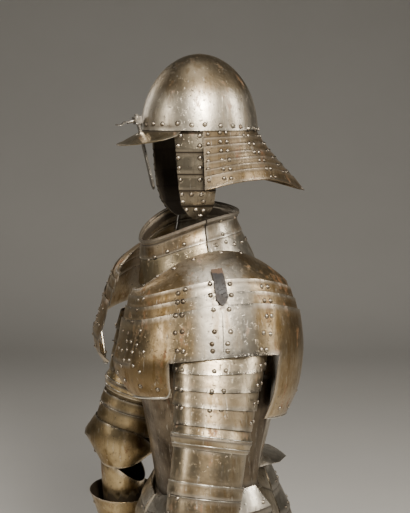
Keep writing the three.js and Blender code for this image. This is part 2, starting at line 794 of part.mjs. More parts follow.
// A section round a limb, the angle counted from the outer side towards the front.
function limbSurface(frame, half) {
  return (angle, t) => limbPoint(frame, t, half.a(t) * cos(angle), half.b(t) * sin(angle));
}

function arm(label, joints) {
  const upper = limbFrame(joints.shoulder, joints.elbow, joints.outward);
  upper.level = (t) => 1 - ease(t / TURNER.ridge);
  const lower = limbFrame(joints.elbow, joints.wrist, joints.turned);
  const upperSurface = limbSurface(upper, upperArm);
  const lowerSurface = limbSurface(lower, forearm);
  const insideUpper = (angle, t) => limbPoint(upper, t, 0, 0);
  const insideLower = (angle, t) => limbPoint(lower, t, 0, 0);
  const bend = Math.hypot(...add(joints.elbow, joints.shoulder, -1));
  const lamesFrom = bend - ELBOW_LAMES.from;
  const lamesTo = bend - ELBOW_LAMES.to;
  const halfWrap = spread(-108, 108, 12);
  const fullWrap = spread(0, 360, 20).slice(0, -1);

  for (let lame = 0; lame < 4; lame += 1) {
    const from = ARM_LINES[lame] - (lame ? 8 : 0);
    const to = ARM_LINES[lame + 1];
    piece(`arm_${label}_lame_${lame + 1}`, plate({
      surface: upperSurface,
      inside: insideUpper,
      across: halfWrap,
      along: [from, to],
      rise: overNext(from, to, LAP),
    }), STEEL);
  }

  const turnerRise = (angle, t) => {
    const swell = Math.exp(-(((t - TURNER.ridge) / 6) ** 2));
    const over = 0.6 + SEAM + PLATE;
    const start = mix(1.2, LAP + 0.6, ease((t - 162) / 8));
    const end = mix(0, over - LAP - 0.6, ease((t - 188) / 14));
    return start + end + 5 * swell;
  };
  piece(`arm_${label}_turner`, plate({
    surface: upperSurface,
    inside: insideUpper,
    across: fullWrap,
    along: [TURNER.from, 162, 171, 179, TURNER.ridge, TURNER.waist, TURNER.band],
    wrap: true,
    rise: turnerRise,
  }), STEEL);

  piece(`arm_${label}_upper_cannon`, plate({
    surface: upperSurface,
    inside: insideUpper,
    across: fullWrap,
    along: [CANNON.from, lamesFrom - 12, lamesFrom + CANNON.pastLames],
    wrap: true,
    rise: () => 0.6,
  }), STEEL);

  const lames = [bend - ELBOW_LAMES.line];
  piece(`arm_${label}_elbow_lames`, plate({
    surface: upperSurface,
    inside: insideUpper,
    across: fullWrap,
    along: steppedStations(lamesFrom, lames, lamesTo, 0.6),
    wrap: true,
    rise: (angle, t) => 0.6 + SEAM + PLATE + steppedRise(lamesFrom, lames, lamesTo, STEP)(angle, t),
    under: () => 0.6 + SEAM,
  }), STEEL);

  // The elbow cop laps both its neighbours, swells to a point outside and to a wing round the bend.
  const scoop = (angle) => 24 + 76 * ((1 - cos(angle)) / 2) ** 1.4;
  const copEdge = (angle) => 40 + 16 * ease(Math.abs(sin(angle))) - 8 * Math.min(0, cos(angle)) ** 2;
  const turned = degreesOf(dot(lower.out, upper.fore), dot(lower.out, upper.out));
  const copPoint = (angle, v) => {
    const around = angle > 180 ? 360 - angle : angle;
    const top = lamesTo - COP_LAP;
    const drop = 34 * ease((around - 120) / 60);
    const over = STEP + 0.6 + 2 * (SEAM + PLATE);
    const low = copEdge(angle);
    const flare = PLATE + SEAM + 7 * ease((around - 112) / 50);
    const above = limbPoint(
      upper,
      top + drop,
      (upperArm.a(top) + over) * cos(angle + turned),
      (upperArm.b(top) + over) * sin(angle + turned),
    );
    const below = limbPoint(
      lower,
      low,
      (forearm.a(low) + flare) * cos(angle),
      (forearm.b(low) + flare) * sin(angle),
    );
    const share = (v + 1) / 2;
    const bulge = 23 * (1 - Math.abs(v)) * Math.exp(-((around / 34) ** 2)) + 11 * (1 - v * v);
    const away = unit(add(add([0, 0, 0], lower.out, cos(angle)), lower.fore, sin(angle)));
    return add(add(add([0, 0, 0], above, 1 - share), below, share), away, bulge);
  };
  piece(`arm_${label}_elbow_cop`, plate({
    surface: copPoint,
    inside: (angle, v) => limbPoint(lower, v * 24, 0, 0),
    across: fullWrap,
    along: [-1, -0.5, 0, 0.5, 1],
    wrap: true,
  }), STEEL);

  piece(`arm_${label}_lower_cannon`, plate({
    surface: (angle, v) => lowerSurface(angle, mix(scoop(angle), 250, v)),
    inside: (angle, v) => insideLower(angle, mix(scoop(angle), 250, v)),
    across: fullWrap,
    along: [0, 0.33, 0.66, 1],
    wrap: true,
  }), STEEL);

  piece(`gauntlet_${label}_cuff`, plate({
    surface: limbSurface(lower, cuff),
    inside: insideLower,
    across: fullWrap,
    along: CUFF.map((row) => row.t),
    wrap: true,
  }), STEEL);

  const handPoint = (angle, t) => limbPoint(
    lower,
    t,
    hand.a(t) * cos(angle) - hand.bend(t),
    hand.b(t) * sin(angle),
  );
  piece(`gauntlet_${label}_hand`, plate({
    surface: handPoint,
    inside: insideLower,
    across: spread(-84, 84, 6),
    along: steppedStations(256, HAND_LINES, 425, 0.6),
    rise: steppedRise(256, HAND_LINES, 425, 1.2),
    under: () => -PLATE,
  }), STEEL);

  piece(`gauntlet_${label}_thumb`, plate({
    surface: (angle, t) => limbPoint(
      lower,
      t,
      -8 + THUMB.a * cos(angle),
      54 + (t - THUMB.from) * 0.16 + THUMB.b * sin(angle),
    ),
    inside: (angle, t) => limbPoint(lower, t, -8, 54 + (t - THUMB.from) * 0.16),
    across: spread(-80, 110, 6),
    along: [THUMB.from, 312, THUMB.to],
  }), STEEL);
}

arm('left', {
  shoulder: [175, 13, -170],
  elbow: [246, -60, -524],
  wrist: [266, -104, -768],
  outward: [1, 0, 0],
  turned: [1, 0, 0],
});

// The right forearm hangs turned, its elbow cop pointing out and forward.
arm('right', {
  shoulder: [-178, 4, -150],
  elbow: [-224, -75, -450],
  wrist: [-244, -77, -697],
  outward: [-1, 0, 0],
  turned: [-0.57, -0.82, 0],
});

export default suit;
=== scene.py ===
from collections import namedtuple
import json
import math

import bmesh
import bpy
from mathutils import Matrix, Vector
from mathutils.bvhtree import BVHTree
from mathutils.kdtree import KDTree

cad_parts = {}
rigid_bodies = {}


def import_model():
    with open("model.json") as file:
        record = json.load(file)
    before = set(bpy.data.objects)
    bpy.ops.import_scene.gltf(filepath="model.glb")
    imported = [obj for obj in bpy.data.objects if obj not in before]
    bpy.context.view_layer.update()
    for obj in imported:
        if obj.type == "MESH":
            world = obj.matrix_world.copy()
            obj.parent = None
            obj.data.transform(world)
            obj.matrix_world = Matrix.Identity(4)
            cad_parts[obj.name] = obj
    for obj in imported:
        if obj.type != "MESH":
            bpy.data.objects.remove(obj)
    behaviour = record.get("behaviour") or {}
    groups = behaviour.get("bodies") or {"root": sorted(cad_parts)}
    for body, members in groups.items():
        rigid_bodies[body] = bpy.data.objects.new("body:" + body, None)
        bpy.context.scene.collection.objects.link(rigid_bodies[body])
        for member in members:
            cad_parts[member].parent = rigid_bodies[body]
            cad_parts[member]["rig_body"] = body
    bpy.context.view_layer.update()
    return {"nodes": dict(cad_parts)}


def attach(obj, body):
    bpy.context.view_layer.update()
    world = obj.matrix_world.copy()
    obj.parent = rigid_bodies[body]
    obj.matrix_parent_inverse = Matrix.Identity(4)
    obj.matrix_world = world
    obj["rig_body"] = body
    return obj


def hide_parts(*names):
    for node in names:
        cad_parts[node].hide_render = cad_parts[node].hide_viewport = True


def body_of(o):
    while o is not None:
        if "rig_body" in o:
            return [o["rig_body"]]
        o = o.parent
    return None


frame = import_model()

MM = 0.001
BODY = "armour"
SIDES = (("left", 1), ("right", -1))
NODES = sorted(frame["nodes"])


# Shader maths

# The sockets of a Mix node that is set to colours
MIX_SHARE, MIX_BELOW, MIX_ABOVE, MIX_RESULT = 0, 6, 7, 2


class Value:
    """A number socket of a shader, with the usual arithmetic."""

    def __init__(self, surface, socket):
        self.surface = surface
        self.socket = socket

    def math(self, operation, first, second):
        outputs = self.surface.node("ShaderNodeMath", {"operation": operation}, {0: first, 1: second})
        return Value(self.surface, outputs[0])

    def __add__(self, other):
        return self.math("ADD", self, other)

    def __radd__(self, other):
        return self.math("ADD", other, self)

    def __sub__(self, other):
        return self.math("SUBTRACT", self, other)

    def __rsub__(self, other):
        return self.math("SUBTRACT", other, self)

    def __mul__(self, other):
        return self.math("MULTIPLY", self, other)

    def __rmul__(self, other):
        return self.math("MULTIPLY", other, self)

    def between(self, low, high):
        """0 below low, 1 above high and smooth between."""
        outputs = self.surface.node(
            "ShaderNodeMapRange", {"interpolation_type": "SMOOTHSTEP"},
            {"Value": self, "From Min": low, "From Max": high},
        )
        return Value(self.surface, outputs["Result"])


class Surface:
    """A material being built: its places, noises, colours and shader."""

    def __init__(self, name):
        self.material = bpy.data.materials.new(name)
        self.material.use_nodes = True
        self.tree = self.material.node_tree
        self.shader = self.tree.nodes["Principled BSDF"]
        self.places = self.node("ShaderNodeTexCoord", {}, {})["Object"]

    def node(self, kind, settings, sockets):
        """The outputs of a new node, whose settings are set before the values and links of its sockets."""
        made = self.tree.nodes.new(kind)
        for name, setting in settings.items():
            setattr(made, name, setting)
        for name, source in sockets.items():
            self.join(source, made.inputs[name])
        return made.outputs

    def join(self, source, target):
        source = source.socket if isinstance(source, Value) else source
        if isinstance(source, bpy.types.NodeSocket):
            self.tree.links.new(source, target)
        else:
            target.default_value = source

    def feed(self, name, source):
        self.join(source, self.shader.inputs[name])

    def noise(self, scale, detail, roughness, stretch=(1, 1, 1), shift=0.0):
        moved = self.node("ShaderNodeMapping", {}, {
            "Vector": self.places, "Scale": stretch, "Location": (shift, shift * 0.7, shift * 1.3),
        })
        outputs = self.node("ShaderNodeTexNoise", {}, {
            "Vector": moved["Vector"], "Scale": scale, "Detail": detail, "Roughness": roughness,
        })
        return Value(self, outputs["Fac"])

    def place(self, axis):
        return Value(self, self.node("ShaderNodeSeparateXYZ", {}, {"Vector": self.places})[axis])

    def attribute(self, name):
        return Value(self, self.node("ShaderNodeAttribute", {"attribute_name": name}, {})["Fac"])

    def mix(self, below, above, share):
        below, above = (
            colour if isinstance(colour, bpy.types.NodeSocket) else (*colour, 1) for colour in (below, above)
        )
        outputs = self.node("ShaderNodeMix", {"data_type": "RGBA"}, {
            MIX_SHARE: share, MIX_BELOW: below, MIX_ABOVE: above,
        })
        return outputs[MIX_RESULT]

    def bump(self, height, distance):
        outputs = self.node("ShaderNodeBump", {}, {"Strength": 1.0, "Distance": distance, "Height": height})
        self.feed("Normal", outputs["Normal"])


# Finishes

RUST = (0.20, 0.080, 0.030)
# dark of grime and pits, also laid on as painted shade in seams, gaps and joints
GRIME_AND_SHADE = (0.030, 0.020, 0.012)
SILVER = (0.80, 0.74, 0.63)
SCRATCHED = (0.78, 0.74, 0.66)
# painted shade for the inner faces
HOLLOW_SHADE = (0.040, 0.028, 0.018)
BUCKLE_STAIN = (0.085, 0.048, 0.026)
CRACKED = (0.012, 0.009, 0.007)
BRIGHT_SHARE = 0.94
PATINA_SHARE = 0.6
DEEP_SHARE = 0.42
STEEL_RELIEF = 0.45 * MM
LEATHER_RELIEF = 0.5 * MM
STAIN_LENGTH = 10 * MM
STAIN_FADE = 3 * MM
STAIN_RAGGED = 5 * MM

# A painted highlight band across a plate: its axis, middle and half width in m, and how silvery it is
HighlightBand = namedtuple("HighlightBand", "axis middle half strength")


def steel(name, bright, patina, browned, rust, shift, highlight_band=None, rim_wear_and_sheen_share=0.45, joints=()):
    """Old polished plate: bright metal, brown patina in blotches and streaks, rust, pits and scratches, with
    painted highlights and painted shade.

    browned and rust say how far those have spread, the rim share how bright the rims are, from rubbed wear
    and a painted highlight, and shift moves the pattern. A band, if given, is a painted highlight across the
    plate; the lines are the heights and half widths, in m, of painted shade lines across the plate, in its
    gaps and joints.
    """
    bright = tuple(value * BRIGHT_SHARE for value in bright)
    patina = tuple(value * PATINA_SHARE for value in patina)
    deep = tuple(value * DEEP_SHARE for value in patina)
    surface = Surface(name)
    tone = surface.noise(5.5, 5, 0.6, shift=shift + 2).between(0.36, 0.62)
    blotch = surface.noise(9, 7, 0.62, shift=shift).between(0.62 - browned * 0.34, 0.80 - browned * 0.30)
    streak = surface.noise(13, 6, 0.65, stretch=(5, 5, 0.6), shift=shift).between(0.47, 0.66)
    fine = surface.noise(120, 5, 0.65, shift=shift)
    pitted = surface.noise(150, 4, 0.65, shift=shift).between(0.60, 0.68)
    scratch = surface.noise(22, 3, 0.6, stretch=(9, 9, 0.9), shift=shift + 3).between(0.62, 0.70)
    rusty = surface.noise(17, 9, 0.72, stretch=(1.5, 1.5, 0.7), shift=shift + 5)
    rusty = rusty.between(0.62 - rust * 0.16, 0.72 - rust * 0.12)
    dents = surface.noise(26, 3, 0.5, shift=shift)
    seam_grime_and_shade = surface.attribute("seam_grime_and_shade")
    rim_wear_and_sheen = surface.attribute("rim_wear_and_sheen")
    inner = surface.attribute("inner")

    colour = surface.mix(bright, patina, blotch * 0.7 + streak * 0.4)
    colour = surface.mix(deep, colour, 0.45 + tone * 0.55)
    # a painted highlight: a silvery band across the plate
    if highlight_band:
        off = (surface.place(highlight_band.axis) - highlight_band.middle) * (1 / highlight_band.half)
        highlight = 1 - (off * off).between(0.25, 1.0)
        colour = surface.mix(colour, SILVER, highlight * highlight_band.strength * (1 - streak * 0.45 - blotch * 0.20))
    colour = surface.mix(colour, GRIME_AND_SHADE, pitted * 0.55)
    colour = surface.mix(colour, RUST, rusty * (0.35 + rust))
    colour = surface.mix(colour, SCRATCHED, scratch * 0.35)
    # rims lighter: rubbed wear and a painted highlight
    colour = surface.mix(colour, SILVER, rim_wear_and_sheen * rim_wear_and_sheen_share)
    # painted shade, with some grime, along seams next to other plates and in inner corners
    colour = surface.mix(colour, GRIME_AND_SHADE, seam_grime_and_shade * 0.9)
    # painted shade lines across the plate, in its gaps and joints
    for height, half in joints:
        off = (surface.place("Z") - height) * (1 / half)
        colour = surface.mix(colour, GRIME_AND_SHADE, (1 - (off * off).between(0.3, 1.2)) * 0.9)
    # painted shade on the inner faces, in the garment's hollows
    colour = surface.mix(colour, HOLLOW_SHADE, inner * 0.9)

    surface.feed("Base Color", colour)
    dull = blotch * 0.10 + fine * 0.14 + streak * 0.06 + rusty * 0.25
    surface.feed("Roughness", 0.22 + dull + seam_grime_and_shade * 0.2 + inner * 0.35 - rim_wear_and_sheen * 0.06)
    surface.feed("Metallic", 1.0 - rusty * 0.45 - seam_grime_and_shade * 0.4 - pitted * 0.3 - inner * 0.5)
    surface.bump(fine * 0.35 - pitted * 0.6 + dents * 1.8 - scratch * 0.25, STEEL_RELIEF)
    return surface.material


def leather(name, base, worn, stained_above=None):
    """Old strap leather: cracked, rubbed lighter, lighter still at the edges from wear and a painted sheen,
    and stained by its buckle above a height.
    """
    surface = Surface(name)
    rub = surface.noise(38, 6, 0.7).between(0.45, 0.72)
    crack = surface.noise(170, 5, 0.7, stretch=(1, 1, 2.2)).between(0.55, 0.68)
    grain = surface.noise(210, 6, 0.7)
    colour = surface.mix(base, worn, rub * 0.6 + surface.attribute("rim_wear_and_sheen") * 0.4)
    colour = surface.mix(colour, CRACKED, crack * 0.6)
    if stained_above is not None:
        height = surface.place("Z") + rub * STAIN_RAGGED
        stain = height.between(stained_above, stained_above + STAIN_FADE)
        colour = surface.mix(colour, BUCKLE_STAIN, stain)
    surface.feed("Base Color", colour)
    surface.feed("Roughness", 0.52 + rub * 0.22)
    surface.bump(grain - crack * 0.7, LEATHER_RELIEF)
    return surface.material


def floor_paint():
    surface = Surface("pale_floor")
    cloud = surface.noise(1.6, 5, 0.6)
    surface.feed("Base Color", surface.mix((0.60, 0.58, 0.54), (0.66, 0.64, 0.60), cloud))
    surface.feed("Roughness", 0.78 + cloud * 0.1)
    return surface.material


BLACK_LEATHER = (0.012, 0.010, 0.009)
WORN_LEATHER = (0.045, 0.032, 0.023)


def shoulder_strap(side):
    """The leather of a shoulder strap, stained over its last stretch below the top."""
    top = max(vertex.co.z for vertex in frame["nodes"][f"pauldron_{side}_strap"].data.vertices)
    return leather(f"{side}_strap_leather", BLACK_LEATHER, WORN_LEATHER, top - STAIN_LENGTH)


CHEEK_SHADE_LINES = (  # painted shade lines: in the gap under the skull, then along the joints of the cheek piece's plates
    (0.2465, 0.0040), (0.207, 0.0013), (0.163, 0.0013), (0.130, 0.0013), (0.098, 0.0013),
)
# painted highlights on the skull and on the middle of each shoulder
SKULL_HIGHLIGHT = HighlightBand("Z", 0.262, 0.080, 0.5)
SHOULDER_HIGHLIGHT = HighlightBand("Y", 0.0, 0.07, 0.8)
FINISHES = {  # steel: bright metal, patina, how browned, how rusty, the pattern's shift; leather: base, worn
    "skull": steel("skull_steel", (0.54, 0.45, 0.31), (0.36, 0.27, 0.16), 0.78, 0.28, 1, highlight_band=SKULL_HIGHLIGHT),
    "peak": steel("peak_steel", (0.50, 0.42, 0.28), (0.30, 0.23, 0.13), 0.70, 0.30, 2),
    "tail": steel("tail_steel", (0.50, 0.39, 0.25), (0.32, 0.22, 0.11), 0.80, 0.46, 3, rim_wear_and_sheen_share=0.25),
    "cheek": steel(
        "cheek_steel", (0.44, 0.38, 0.28), (0.23, 0.18, 0.12), 0.60, 0.30, 4,
        rim_wear_and_sheen_share=0.05, joints=CHEEK_SHADE_LINES,
    ),
    "gorget": steel("gorget_steel", (0.74, 0.62, 0.42), (0.50, 0.33, 0.12), 0.66, 0.32, 5),
    "collar": steel("collar_steel", (0.58, 0.48, 0.34), (0.32, 0.21, 0.10), 0.62, 0.32, 6),
    "pauldron": steel(
        "pauldron_steel", (0.66, 0.52, 0.33), (0.42, 0.27, 0.11), 0.70, 0.44, 7, highlight_band=SHOULDER_HIGHLIGHT,
    ),
    "arm": steel("arm_steel", (0.72, 0.60, 0.42), (0.44, 0.31, 0.16), 0.56, 0.34, 8),
    "brown_arm": steel("brown_arm_steel", (0.58, 0.45, 0.26), (0.36, 0.24, 0.10), 0.66, 0.35, 9),
    "breast": steel("breast_steel", (0.30, 0.24, 0.17), (0.13, 0.09, 0.055), 0.70, 0.25, 10),
    "back": steel("back_steel", (0.68, 0.62, 0.51), (0.40, 0.31, 0.20), 0.50, 0.30, 11),
    "hip": steel("hip_steel", (0.72, 0.66, 0.55), (0.44, 0.35, 0.24), 0.45, 0.30, 12),
    "iron": steel("fitting_iron", (0.42, 0.38, 0.33), (0.22, 0.17, 0.12), 0.50, 0.25, 13),
    "rivet": steel("rivet_iron", (0.52, 0.45, 0.35), (0.26, 0.19, 0.12), 0.45, 0.20, 14),
    # the rolled rims, arm ridges and shoulder creases are lighter than the plates: rubbed bright, and with a
    # painted highlight
    "roll": steel("rolled_rim_steel", (0.84, 0.79, 0.69), (0.56, 0.46, 0.31), 0.25, 0.10, 15),
    # painted shade round the foot of each rivet
    "rivet_foot_shade": leather("rivet_foot_shade_paint", (0.014, 0.009, 0.006), (0.034, 0.020, 0.011)),
    "leather": leather("black_leather", BLACK_LEATHER, WORN_LEATHER),
    "left_strap": shoulder_strap("left"),
    "right_strap": shoulder_strap("right"),
}
FINISH_OF = (  # the first of these that a node's name starts with gives its finish
    ("helmet_skull", "skull"), ("helmet_peak", "peak"), ("nasal", "iron"), ("cheek", "cheek"),
    ("tail", "tail"), ("gorget_collar_front", "collar"), ("gorget_plate_front", "gorget"),
    ("gorget", "back"), ("breastplate", "breast"), ("backplate", "back"), ("cuirass_strap", "leather"),
    ("pauldron_left_strap", "left_strap"), ("pauldron_right_strap", "right_strap"), ("pauldron", "pauldron"),
    ("culet", "hip"), ("tasset", "hip"), ("arm_right", "brown_arm"), ("gauntlet_right", "brown_arm"),
    ("arm", "arm"), ("gauntlet", "arm"),
)


def finish_of(name):
    return next(finish for prefix, finish in FINISH_OF if name.startswith(prefix))


# Plates: each solid copied, merged, made of quads and smoothed, with its rims kept sharp

MERGE_REACH = 0.01 * MM
QUAD_BEND = math.radians(38)
QUAD_SKEW = math.radians(70)
RIM_ANGLE = math.radians(27)
PLATE_LEVELS = 2
FITTING_LEVELS = 1
FITTINGS = ("nasal_bar", "nasal_bracket", "nasal_screw")


def link(name, data):
    made = bpy.data.objects.new(name, data)
    bpy.context.scene.collection.objects.link(made)
    return made


def new_mesh(name, bm):
    mesh = bpy.data.meshes.new(name)
    bm.to_mesh(mesh)
    bm.free()
    return mesh


def mesh_of(shown):
    """An object's mesh as its modifiers or bevel leave it, with no materials. The object and its data go."""
    data = shown.data
    fine = bpy.data.meshes.new_from_object(shown.evaluated_get(bpy.context.evaluated_depsgraph_get()))
    fine.materials.clear()
    bpy.data.objects.remove(shown)
    store = bpy.data.curves if isinstance(data, bpy.types.Curve) else bpy.data.meshes
    store.remove(data)
    return fine


def is_rim(edge):
    return len(edge.link_faces) == 2 and edge.calc_face_angle() > RIM_ANGLE


def refined(name, levels):
    """A smooth copy of a CAD solid's mesh."""
    bm = bmesh.new()
    bm.from_mesh(frame["nodes"][name].data)
    bmesh.ops.remove_doubles(bm, verts=bm.verts, dist=MERGE_REACH)
    bmesh.ops.join_triangles(
        bm, faces=bm.faces, angle_face_threshold=QUAD_BEND, angle_shape_threshold=QUAD_SKEW,
    )
    bmesh.ops.recalc_face_normals(bm, faces=bm.faces)
    crease = bm.edges.layers.float.new("crease_edge")
    for edge in bm.edges:
        if is_rim(edge):
            edge[crease] = 1.0
    cage = link(name + "_cage", new_mesh(name + "_cage", bm))
    smooth = cage.modifiers.new("smooth", "SUBSURF")
    smooth.levels = levels
    smooth.render_levels = levels
    fine = mesh_of(cage)
    fine.shade_smooth()
    fine.set_sharp_from_angle(angle=RIM_ANGLE)
    return fine


plates = {}
for name in NODES:
    mesh = refined(name, FITTING_LEVELS if name in FITTINGS else PLATE_LEVELS)
    plate = link(name + "_plate", mesh)
    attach(plate, body_of(frame["nodes"][name])[0])
    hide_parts(name)
    finish = finish_of(name)
    mesh.materials.append(FINISHES[finish])
    plates[name] = plate


# Rims lighter from wear and a painted highlight, seams darker from grime and painted shade: how near each
# point of a plate is to its own rims, and to its corners and other plates' rims

RIM_WEAR_AND_SHEEN_REACH = 3.2 * MM
SEAM_REACH = 3.4 * MM
SEAM_SEARCH = 7 * MM
FAR_AWAY = 1.0


def rim_points(mesh):
    """Points along the sharp rims and along the inner corners of a plate, close enough to measure from."""
    bm = bmesh.new()
    bm.from_mesh(mesh)
    outer, inner = [], []
    for edge in bm.edges:
        if is_rim(edge):
            a, b = edge.verts[0].co, edge.verts[1].co
            kept = outer if edge.is_convex else inner
            kept.extend(a.lerp(b, share) for share in (0, 0.25, 0.5, 0.75))
    bm.free()
    return outer, inner


def tree_of(points):
    tree = KDTree(max(1, len(points)))
    for index, point in enumerate(points):
        tree.insert(point, index)
    tree.balance()
    return tree


def nearness(distance, reach):
    return math.exp(-((distance / reach) ** 2))


rims, corners = {}, {}
for name, plate in plates.items():
    rims[name], corners[name] = rim_points(plate.data)
every_rim = [(name, point) for name in NODES for point in rims[name]]
rim_tree = tree_of([point for _, point in every_rim])
own_trees = {name: tree_of(rims[name]) for name in NODES if rims[name]}
corner_trees = {name: tree_of(corners[name]) for name in NODES if corners[name]}
for name, plate in plates.items():
    mesh = plate.data
    rim_wear_and_sheen = mesh.attributes.new("rim_wear_and_sheen", "FLOAT", "POINT")
    seam_grime_and_shade = mesh.attributes.new("seam_grime_and_shade", "FLOAT", "POINT")
    for vertex in mesh.vertices:
        away = own_trees[name].find(vertex.co)[2] if name in own_trees else FAR_AWAY
        rim_wear_and_sheen.data[vertex.index].value = nearness(away, RIM_WEAR_AND_SHEEN_REACH)
        near = corner_trees[name].find(vertex.co)[2] if name in corner_trees else FAR_AWAY
        for _, index, distance in rim_tree.find_range(vertex.co, SEAM_SEARCH):
            if every_rim[index][0] != name:
                near = min(near, distance)
        seam_grime_and_shade.data[vertex.index].value = nearness(near, SEAM_REACH)


# Inner faces, which look at another part of their own garment, are left rough and get painted shade

INNER_START = 6 * MM
INNER_REACH = 300 * MM
GARMENTS = (  # how the names of each garment's plates start
    ("helmet_skull", "cheek", "tail"), ("gorget",), ("breastplate", "backplate"), ("pauldron_left",),
    ("pauldron_right",), ("arm_left", "gauntlet_left"), ("arm_right", "gauntlet_right"), ("tasset_left",),
    ("tasset_right",), ("culet",),
)


def named(*starts):
    return [name for name in NODES if name.startswith(starts)]


def face_tree(names):
    """The faces of some plates, for rays to be cast at."""
    spots, faces = [], []
    for name in names:
        mesh = plates[name].data
        faces += [[index + len(spots) for index in polygon.vertices] for polygon in mesh.polygons]
        spots += [vertex.co for vertex in mesh.vertices]
    return BVHTree.FromPolygons(spots, faces)


for starts in GARMENTS:
    members = named(*starts)
    garment = face_tree(members)
    for name in members:
        mesh = plates[name].data
        inner = mesh.attributes.new("inner", "FLOAT", "POINT")
        for vertex in mesh.vertices:
            hit = garment.ray_cast(vertex.co + vertex.normal * INNER_START, vertex.normal, INNER_REACH)[0]
            inner.data[vertex.index].value = 0.0 if hit is None else 1.0


# Rivets: domed heads, each seated where a line from outside toward the wearer first meets a plate, in mm

DOME = (  # radius and height, as shares of a rivet's size, from its middle below to its top
    (0, -0.10), (1.42, -0.10), (0.98, 0.10), (0.90, 0.34), (0.64, 0.58), (0.32, 0.70), (0, 0.74),
)
DOME_SIDES = 10
DOME_MERGE = 0.0001
SHADE_RING_TOP = 0.05
CAST_BACK = 90 * MM


def spun_dome():
    """A domed rivet head of size 1 with a thin ring of painted shade round its foot."""
    bm = bmesh.new()
    points = [bm.verts.new((reach, 0, height)) for reach, height in DOME]
    edges = [bm.edges.new(pair) for pair in zip(points, points[1:])]
    bmesh.ops.spin(
        bm, geom=points + edges, cent=(0, 0, 0), axis=(0, 0, 1), angle=2 * math.pi, steps=DOME_SIDES,
        use_merge=True,
    )
    bmesh.ops.remove_doubles(bm, verts=bm.verts, dist=DOME_MERGE)
    bmesh.ops.recalc_face_normals(bm, faces=bm.faces)
    # faces low on the dome form the ring of painted shade
    for face in bm.faces:
        face.material_index = 1 if face.calc_center_median().z < SHADE_RING_TOP else 0
    return new_mesh("dome", bm)


DOME_MESH = spun_dome()


def trim(title, mesh, finishes):
    """A fitted piece of trim that stays with the armour."""
    mesh.shade_smooth()
    for finish in finishes:
        mesh.materials.append(FINISHES[finish])
    made = link(title, mesh)
    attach(made, BODY)


def rivet_set(title, found, radius):
    bm = bmesh.new()
    for spot, normal, _ in filter(None, found):
        count = len(bm.verts)
        bm.from_mesh(DOME_MESH)
        bm.verts.ensure_lookup_table()
        turn = normal.to_track_quat("Z", "Y").to_matrix().to_4x4()
        place = Matrix.Translation(spot) @ turn @ Matrix.Scale(radius * MM, 4)
        bmesh.ops.transform(bm, matrix=place, verts=bm.verts[count:])
    trim(title, new_mesh(title, bm), ("rivet", "rivet_foot_shade"))


plate_trees = {name: face_tree([name]) for name in NODES}


def seat(names, point, core):
    """The spot, normal and distance where a line from outside through point to core first meets a plate."""
    way = (Vector(core) * MM - Vector(point) * MM).normalized()
    start = Vector(point) * MM - way * CAST_BACK
    best = None
    for name in names:
        spot, normal, _, distance = plate_trees[name].ray_cast(start, way)
        if spot is not None and (best is None or distance < best[2]):
            best = (spot, normal if normal.dot(way) < 0 else -normal, distance)
    return best


def seats(names, points, core, move=tuple):
    """The seats of points, each toward its own core, once move has carried both to their side."""
    return [seat(names, move(point), move(core(point))) for point in points]


def level_core(x, y):
    """A core for each point: the wearer's middle at the point's height, x out on the point's own side."""
    return lambda point: (x if point[0] > 0 else -x, y, point[2])


def mirrored(point):
    return -point[0], point[1], point[2]


def both(points):
    return points + [mirrored(point) for point in points]


RIGHT_SHOULDER_TIP = math.radians(8.5)
RIGHT_SHOULDER_LIFT = 9


def right_shoulder(point):
    """A place on the left shoulder as it lies on the right one, which is carried higher and tipped."""
    x, y, z = -point[0], point[1], point[2] + RIGHT_SHOULDER_LIFT
    cos, sin = math.cos(RIGHT_SHOULDER_TIP), math.sin(RIGHT_SHOULDER_TIP)
    return x * cos + z * sin, y, z * cos - x * sin


def round_point(centre, radii, angle, z):
    """The point at an angle in degrees round an upright line, from the front toward +X, in mm."""
    a = math.radians(angle)
    return centre[0] + radii[0] * math.sin(a), centre[1] - radii[1] * math.cos(a), z


# Places of the rivets on the left side, in mm, which are carried over to the right side below
SKULL_RIM = [
    (17, -93, 261), (40, -85, 263), (60, -73, 263), (83, -49, 264), (97, -23, 261), (104, 2, 262),
    (107, 35, 260), (103, 62, 259), (97, 82, 257), (85, 104, 253), (66, 126, 252), (40, 142, 251),
    (14, 149, 251),
]
CHEEK = [
    (78, -40, 240), (97, -6, 240), (77, -45, 220), (97, -6, 220), (77, -45, 196), (95, -5, 196),
    (77, -43, 176), (94, -5, 176), (77, -41, 152), (92, -4, 152), (72, -36, 122), (78, -18, 122),
    (83, 1, 122), (72, -35, 107), (82, 8, 107), (65, -24, 90), (70, -5, 90), (74, 12, 88), (67, 6, 77),
]
TAIL_FRONT = [(101, 9, 243), (104, 9, 224), (108, 8, 206), (111, 7, 190), (113, 6, 174), (117, 6, 152)]
TAIL_LAMES = 6
TAIL_PAIRS = [  # the two rivets of a pair on the first lame, and the step from one lame to the next
    ((103, 34, 246), (102, 48, 246), (3.2, 0.4, -18)),
    ((92, 94, 240), (84, 106, 239), (-1.5, 9.5, -17)),
    ((50, 134, 237), (36, 145, 236), (0.8, 15, -15)),
    ((14, 158, 236), (-14, 158, 236), (0, 17, -15)),
]
TAIL_HEM = [
    (118, 20, 132), (120, 45, 136), (118, 75, 141), (112, 105, 144), (102, 135, 145), (88, 165, 142),
    (72, 195, 136), (52, 222, 131), (28, 246, 126), (8, 256, 124),
]
GORGET = [
    (20, -91, -14), (37, -84, -7), (58, -62, 6), (77, -33, 22), (92, 31, 19), (85, 54, 24), (80, 76, 18),
    (62, 98, 20), (34, 112, 22), (8, 117, 22), (79, 45, 67), (83, 49, 40), (50, 84, 70), (18, 104, 72),
]
